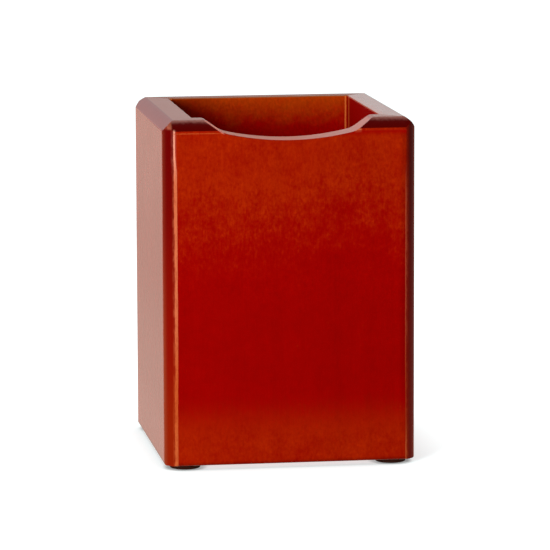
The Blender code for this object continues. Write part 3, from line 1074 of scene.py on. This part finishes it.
def rub_and_highlight_arrises(board, colour):
    """Rub the lacquer of the arrises through, unevenly.

    The rubbed lines carry a painted highlight, as does the edge of the scoop's left ramp.
    """
    tree = board.tree
    look = board.look
    for (end, corner), rubs in zip(board.ends(), look["rubs"]):
        if any(rubs):
            colour = rub_and_highlight_corner(board, colour, end, corner, rubs)
    # The top arris: rubbed through, partly a painted highlight
    first, last = look["top_rub"]
    strength = board.x.band(*TOP_RUB_ENDS, last, first)
    strength = strength * (board.wear + board.fine).band(*TOP_RAGGED)
    inward = board.down - EASE - TOP_LINE_DROP + board.wear * TOP_LINE_WANDER
    line = abs(inward).band(*TOP_LINE) * board.y.band(*TOP_LINE_DEPTH)
    line = line * board.side.band(*OFF_CORNER)
    colour = blend(tree, line * strength, colour, TOP_ARRIS)
    if look["scooped"]:
        colour = wear_and_highlight_scoop_ends(board, colour)
    dull = board.down.plateau(*DULL_STRIP) * board.y.band(*DULL_DEPTH)
    dull = dull * board.x.band(*DULL_SIDE) * board.x.band(*DULL_RISE) * look["worn_rim"]
    return blend(tree, dull, colour, DEEP_RED)


def show_glue(board, colour):
    """Show the glue along the inner corners, and its smear beside the far one."""
    tree = board.tree
    look = board.look
    inset = board.side - THICKNESS
    if look["glue"]:
        line = (abs(inset - GLUE_OFFSET) + board.wear * GLUE_WANDER).band(*GLUE_LINE)
        colour = blend(tree, line * board.inside * look["glue"], colour, GLUE_AMBER)
    if look["smear"]:
        line = (abs(inset - SMEAR_OFFSET) + board.wear * SMEAR_WANDER).band(*SMEAR_LINE)
        line = line * board.inside * board.toward(1)
        colour = blend(tree, line * look["smear"], colour, GLUE_AMBER)
    return colour


def lacquer_colour(board):
    """Colour of the whole board under its lacquer."""
    tree = board.tree
    colour = stain(board)
    rim = blend(tree, board.inner_half, RIM_WOOD, board.look["rim"])
    colour = blend(tree, board.on_rim, colour, rim)
    colour = lay_chamfers(board, colour)
    colour = sand_tips(board, colour)
    colour = rub_and_highlight_arrises(board, colour)
    bare = blend(tree, board.x.band(*BARE_SIDE), SCOOP_WOOD, SCOOP_WORN)
    colour = blend(tree, board.in_scoop, colour, bare)
    return show_glue(board, colour)


def scale_where(mask, factor):
    """The factor within a mask, and 1 outside it."""
    return 1 - mask * (1 - factor)


def lacquer_sheen(board):
    """How strongly the lacquer mirrors, by zone."""
    look = board.look
    sheen = board.in_scoop * SCOOP_SHEEN + 1
    sheen = sheen * scale_where(board.inside, look["inner_sheen"])
    outer, inner = look["rim_sheen"]
    rim_sheen = board.inner_half * (inner - outer) + outer
    for fade in look["rim_fades"]:
        rim_sheen = rim_sheen * board.x.band(*fade)
    sheen = sheen * scale_where(board.on_rim, rim_sheen)
    for end, corner in board.ends():
        corner_sheen = board.z.band(*CORNER_SHEEN_HEIGHT, corner["low_sheen"], corner["sheen"])
        on_corner = board.side.band(*ON_CORNER) * board.toward(end)
        sheen = sheen * scale_where(on_corner, corner_sheen)
        if corner["dull"]:
            dull = board.side.band(*DULL_CHAMFER) * board.toward(end) * board.outer
            sheen = sheen * (1 - dull * corner["dull"])
    if look["hazy"]:
        dull = board.side.band(*HAZE_DULL_SIDE) * board.toward(1)
        sheen = sheen * (1 - dull * board.y.band(*HAZE_DULL_DEPTH))
        face = board.z.band(*HAZE_LOWER) + board.z.band(*HAZE_UPPER)
        chamfers = board.side.band(*HAZE_CHAMFER) * board.outer
        chamfers = chamfers.most(board.on_top_chamfer).most(board.on_rim)
        sheen = sheen * (face * (1 - chamfers) + chamfers)
        sheen = sheen * (1 - board.on_top_chamfer * (1 - board.on_rim) * HAZE_TOP_LOSS)
    return sheen * SPECULAR_LEVEL


def lacquer_roughness(board):
    look = board.look
    rough = board.ripple(*GLOSS_CLOUDS) * CLOUD_GLOSS + board.grain * GRAIN_GLOSS
    rough = rough * board.steady(GLOSS_EXTRA) + LACQUER_ROUGH
    rough = rough + board.on_rim * (look["rim_rough"] - LACQUER_ROUGH)
    chamfer = board.on_top_chamfer * (1 - board.on_rim)
    rough = rough + chamfer * (look["top_rough"] - LACQUER_ROUGH)
    rough = rough + board.inside * (look["inner_rough"] - LACQUER_ROUGH)
    return rough + board.in_scoop * SCOOP_GLOSS


def lacquer_relief(board):
    """Height of the lacquer's waves and of the grain below it, in metres."""
    waves = board.ripple(*WAVES) * (WAVE_HEIGHT * board.steady(STEADY_EXTRA))
    return (board.grain * (GRAIN_HEIGHT * board.look["relief"]) + waves) * (1 / MILLIMETRES)


def add_bump(tree, shader, height):
    bump = add_node(tree, "ShaderNodeBump", {"Height": height, "Distance": 1.0, "Strength": 1.0})
    tree.links.new(bump.outputs[0], shader.inputs["Normal"])


def lacquer(name, seed, look):
    """Red stain under clear lacquer, with its zones, grain, rubbed edges and glue line.

    Its colour also holds painted shade, light and highlights, and on the left board a
    painted reflection.
    """
    material, tree, shader = new_material(name)
    board = Surface(tree, seed, look)
    tree.links.new(lacquer_colour(board), shader.inputs["Base Color"])
    shader.inputs["IOR"].default_value = LACQUER_IOR
    shader.inputs["Specular Tint"].default_value = LACQUER_TINT
    tree.links.new(lacquer_sheen(board).socket, shader.inputs["Specular IOR Level"])
    tree.links.new(lacquer_roughness(board).socket, shader.inputs["Roughness"])
    add_bump(tree, shader, lacquer_relief(board))
    return material


def rubber():
    material, tree, shader = new_material("brown_rubber")
    place = Place(tree, SEEDS["rubber"])
    colour = blend(tree, place.noise(*RUBBER_CLOUDS), DARK_RUBBER, LIGHT_RUBBER)
    tree.links.new(colour, shader.inputs["Base Color"])
    shader.inputs["Specular IOR Level"].default_value = RUBBER_SPECULAR
    rough = place.ripple(*RUBBER_SCUFFS) * ROUGH_RANGE + RUBBER_ROUGH
    tree.links.new(rough.socket, shader.inputs["Roughness"])
    add_bump(tree, shader, place.noise(*RUBBER_PORES) * PORE_HEIGHT)
    return material


def plywood():
    material, tree, shader = new_material("birch_plywood")
    place = Place(tree, SEEDS["plywood"])
    fibre = place.noise(*BIRCH_FIBRES)
    across = (place.x - place.y) * PLY_WAVES
    plies = across.calc("SINE", across).band(*PLY_BAND)
    colour = blend(tree, fibre, DARK_BIRCH, LIGHT_BIRCH)
    colour = blend(tree, plies, colour, PLY_BROWN)
    tree.links.new(colour, shader.inputs["Base Color"])
    rough = (fibre - 0.5) * ROUGH_RANGE + PLYWOOD_ROUGH
    tree.links.new(rough.socket, shader.inputs["Roughness"])
    add_bump(tree, shader, fibre * FIBRE_HEIGHT)
    return material


def covered(tree, reach):
    """Share of the sky over a point that things within reach cover."""
    occlusion = add_node(tree, "ShaderNodeAmbientOcclusion", {"Distance": reach})
    return 1 - Signal(tree, occlusion.outputs["AO"])


def floor_material():
    """A floor near white where it is seen or mirrored, with the cup's shadow where it is seen."""
    material, tree, shader = new_material("pale_floor")
    tree.nodes.remove(shader)
    place = Place(tree)
    across, ahead = abs(place.x), abs(place.y)
    beside = ahead.band(*BESIDE_CUP).most(across.band(*BESIDE_CUP))
    by_foot = hypot(across - FOOT_SPREAD, ahead - FOOT_SPREAD).band(*BY_FOOT)
    shaded = 1 - beside * covered(tree, WIDE_REACH) * WIDE_SHADE
    shaded = grey(tree, shaded - by_foot * covered(tree, CONTACT_REACH))
    path = add_node(tree, "ShaderNodeLightPath").outputs
    seen = blend(tree, 1, FLOOR_SEEN, shaded, "MULTIPLY")
    colour = blend(tree, path["Is Camera Ray"], FLOOR_MIRRORED, seen)
    seen_glow = blend(tree, 1, FLOOR_SEEN_GLOW, shaded, "MULTIPLY")
    tint = blend(tree, path["Is Camera Ray"], FLOOR_MIRRORED_GLOW, seen_glow)
    paint = add_node(tree, "ShaderNodeBsdfDiffuse", {"Color": colour})
    glow = add_node(tree, "ShaderNodeEmission", {"Color": tint, "Strength": 1})
    bounce = add_node(tree, "ShaderNodeBsdfDiffuse", {"Color": as_colour(FLOOR_BOUNCE)})
    pale = add_node(tree, "ShaderNodeAddShader", {0: paint.outputs[0], 1: glow.outputs[0]})
    inputs = {0: path["Is Diffuse Ray"], 1: pale.outputs[0], 2: bounce.outputs[0]}
    mixed = add_node(tree, "ShaderNodeMixShader", inputs)
    tree.links.new(mixed.outputs[0], tree.nodes["Material Output"].inputs["Surface"])
    return material


def add_floor():
    edit = bmesh.new()
    bmesh.ops.create_grid(edit, x_segments=1, y_segments=1, size=FLOOR_SPAN / 2)
    mesh = bpy.data.meshes.new("floor")
    edit.to_mesh(mesh)
    edit.free()
    mesh.materials.append(floor_material())
    floor = new_object("floor", mesh)


def add_world():
    """White all round for what is seen or mirrored, and a softer level for what it lights."""
    world = bpy.data.worlds.new("studio")
    bpy.context.scene.world = world
    world.use_nodes = True
    tree = world.node_tree
    tree.nodes.clear()
    path = add_node(tree, "ShaderNodeLightPath").outputs
    white = Signal(tree, path["Is Camera Ray"]).most(path["Is Glossy Ray"])
    white = white.most(path["Is Transmission Ray"])
    light = add_node(tree, "ShaderNodeBackground", {"Color": WHITE, "Strength": WORLD_LEVEL})
    seen = add_node(tree, "ShaderNodeBackground", {"Color": WHITE, "Strength": 1})
    inputs = {0: white, 1: light.outputs[0], 2: seen.outputs[0]}
    mixed = add_node(tree, "ShaderNodeMixShader", inputs)
    output = add_node(tree, "ShaderNodeOutputWorld")
    tree.links.new(mixed.outputs[0], output.inputs["Surface"])


def toward(azimuth, elevation):
    """Direction from the cup; an azimuth of 0 is in front of it, and more is to the right."""
    level = math.cos(elevation)
    return Vector((math.sin(azimuth) * level, -math.cos(azimuth) * level, math.sin(elevation)))


def add_lamp(name, azimuth, elevation, distance, size, watts):
    lamp = bpy.data.lights.new(name, "AREA")
    lamp.shape = "SQUARE"
    lamp.size = size
    lamp.energy = watts
    item = new_object(name, lamp)
    direction = toward(azimuth, elevation)
    item.location = direction * distance + CUP_MIDDLE
    item.rotation_euler = direction.to_track_quat("Z", "Y").to_euler()


def add_camera():
    back = toward(CAMERA_AZIMUTH, CAMERA_ELEVATION)
    level = Vector((math.cos(CAMERA_AZIMUTH), math.sin(CAMERA_AZIMUTH), 0))
    upright = back.cross(level)
    right = level * math.cos(CAMERA_ROLL) + upright * math.sin(CAMERA_ROLL)
    up = upright * math.cos(CAMERA_ROLL) - level * math.sin(CAMERA_ROLL)
    spot = CUP_MIDDLE + back * CAMERA_DISTANCE + right * CAMERA_ASIDE - up * CAMERA_BELOW
    data = bpy.data.cameras.new("camera")
    data.sensor_width = SENSOR_MM
    data.lens = FOCAL_PIXELS / IMAGE_PIXELS * SENSOR_MM
    data.clip_end = CAMERA_REACH
    camera = new_object("camera", data)
    camera.matrix_world = Matrix.Translation(spot) @ Matrix((right, up, back)).transposed().to_4x4()
    bpy.context.scene.camera = camera


def coat(piece, material):
    """Give a piece this one material."""
    piece.data.materials.clear()
    piece.data.materials.append(material)


def build():
    boards = (
        ("front_panel", CUP_WIDTH, CUP_DEPTH / 2),
        ("right_side_panel", CUP_DEPTH, CUP_WIDTH / 2),
        ("back_panel", CUP_WIDTH, CUP_DEPTH / 2),
        ("left_side_panel", CUP_DEPTH, CUP_WIDTH / 2),
    )
    quarter = math.pi / 2
    for order, (name, length, reach) in enumerate(boards):
        look = BOARDS[name]
        board = add_board(name, length, reach, order * quarter, look["scooped"])
        coat(board, lacquer(f"{name}_lacquer", SEEDS[name], look))
    coat(add_base(), lacquer("base_lacquer", SEEDS["base_panel"], BOARDS["right_side_panel"]))
    add_feet(rubber())
    wood = plywood()
    for corner in CORNER_SIGNS:
        coat(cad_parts[f"mitre_spline_{corner}"], wood)


build()
add_floor()
add_world()
add_lamp("key", KEY_AZIMUTH, KEY_ELEVATION, KEY_DISTANCE, KEY_SIZE, KEY_WATTS)
add_lamp("fill", FILL_AZIMUTH, FILL_ELEVATION, KEY_DISTANCE, KEY_SIZE, FILL_WATTS)
add_camera()
bpy.context.scene.view_settings.view_transform = "Standard"
